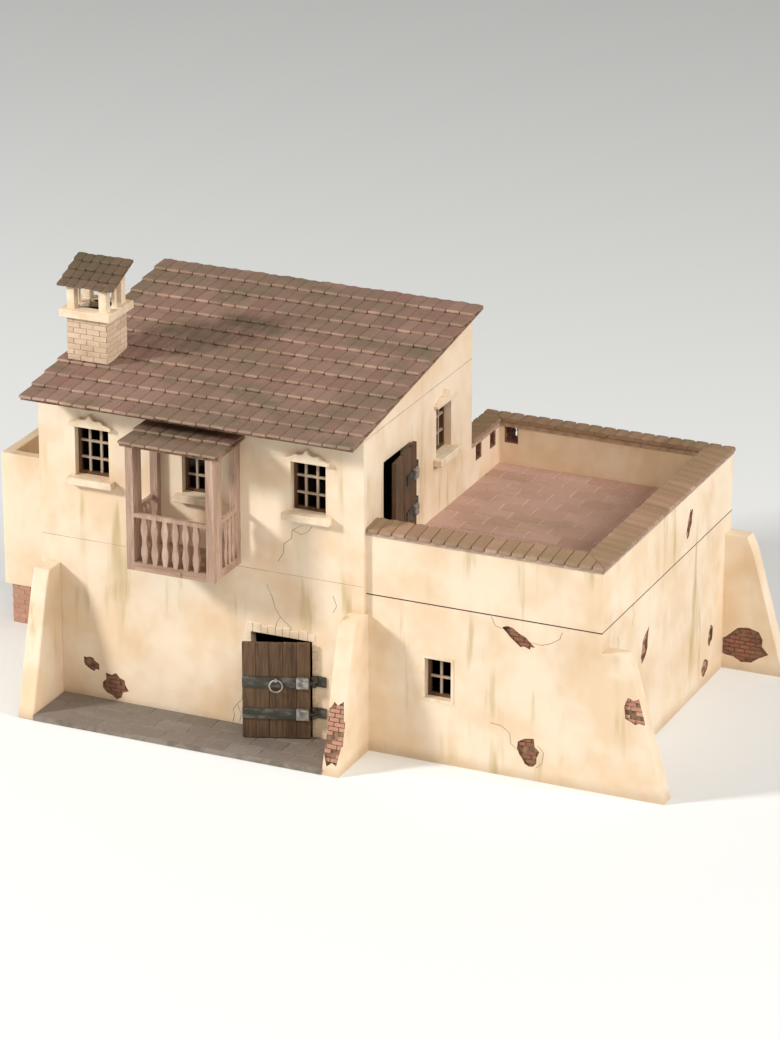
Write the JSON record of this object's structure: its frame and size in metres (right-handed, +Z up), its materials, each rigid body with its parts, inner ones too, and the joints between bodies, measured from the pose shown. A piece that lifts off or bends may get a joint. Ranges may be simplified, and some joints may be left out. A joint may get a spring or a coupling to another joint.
{
  "type": "model farmhouse with roof terrace",
  "caption": "Tabletop model of a Mediterranean farmhouse: tiled two-storey block, lower block with roof terrace, balcony, buttresses, side bay and a plank door that swings.",
  "frame": {"origin": "on the ground, under the middle of the main block's footprint", "axes": "+X along the front to the right, +Y to the back, +Z up"},
  "size_m": [0.3118, 0.1685, 0.1756],
  "materials": {
    "plaster": "painted cream plaster, matt",
    "trim_stone": "painted pale stone, matt",
    "roof_clay": "painted clay tile, matt",
    "terrace_clay": "painted clay tile, matt",
    "pavement_stone": "painted stone, matt",
    "brick": "painted red brick, matt",
    "old_timber": "weathered laser-cut wood",
    "dark_timber": "dark stained planks",
    "dark_iron": "dark iron, worn edges",
    "floor_board": "plain painted floor"
  },
  "bodies": {
    "house": {"base_floor": "floor_board", "pavement": "pavement_stone", "ground_front_wall_left": "plaster", "ground_front_wall_right": "plaster", "ground_front_lintel": "plaster", "ground_left_wall": "plaster", "ground_right_wall": "plaster", "ground_back_wall": "plaster", "storey_plate": "plaster", "upper_front_wall": "plaster", "upper_left_wall": "plaster", "upper_right_wall": "plaster", "upper_back_wall": "plaster", "roof_gables": "plaster", "roof_tiles": "roof_clay", "chimney_stack": "trim_stone", "chimney_lantern": "trim_stone", "chimney_roof": "roof_clay", "side_front_wall": "plaster", "side_right_wall": "plaster", "side_back_wall": "plaster", "side_left_wall": "plaster", "terrace_floor": "terrace_clay", "parapet_front": "plaster", "parapet_right": "plaster", "parapet_back": "plaster", "parapet_left": "plaster", "coping_front": "roof_clay", "coping_right": "roof_clay", "coping_back": "roof_clay", "coping_left": "roof_clay", "buttress_front_left": "plaster", "buttress_front_right": "plaster", "buttress_side_front": "plaster", "buttress_side_back": "plaster", "window_frames": "dark_timber", "window_sills": "trim_stone", "window_pediments": "trim_stone", "balcony_floor": "old_timber", "balcony_posts": "old_timber", "balcony_rails": "old_timber", "balcony_roof": "roof_clay", "terrace_door": "dark_timber", "terrace_hinges": "dark_iron", "door_brackets": "dark_iron", "bay_tray": "plaster", "bay_plinth": "brick"},
    "door": {"door_leaf": "dark_timber", "door_straps": "dark_iron", "door_ring": "dark_iron"}
  },
  "joints": [
    {"name": "door_hinge", "type": "hinge", "parent": "house", "child": "door", "pos_m": [0.04885, -0.05335, 0.0226], "axis": [0, 0, 1], "range_deg": [-20, 90]}
  ]
}
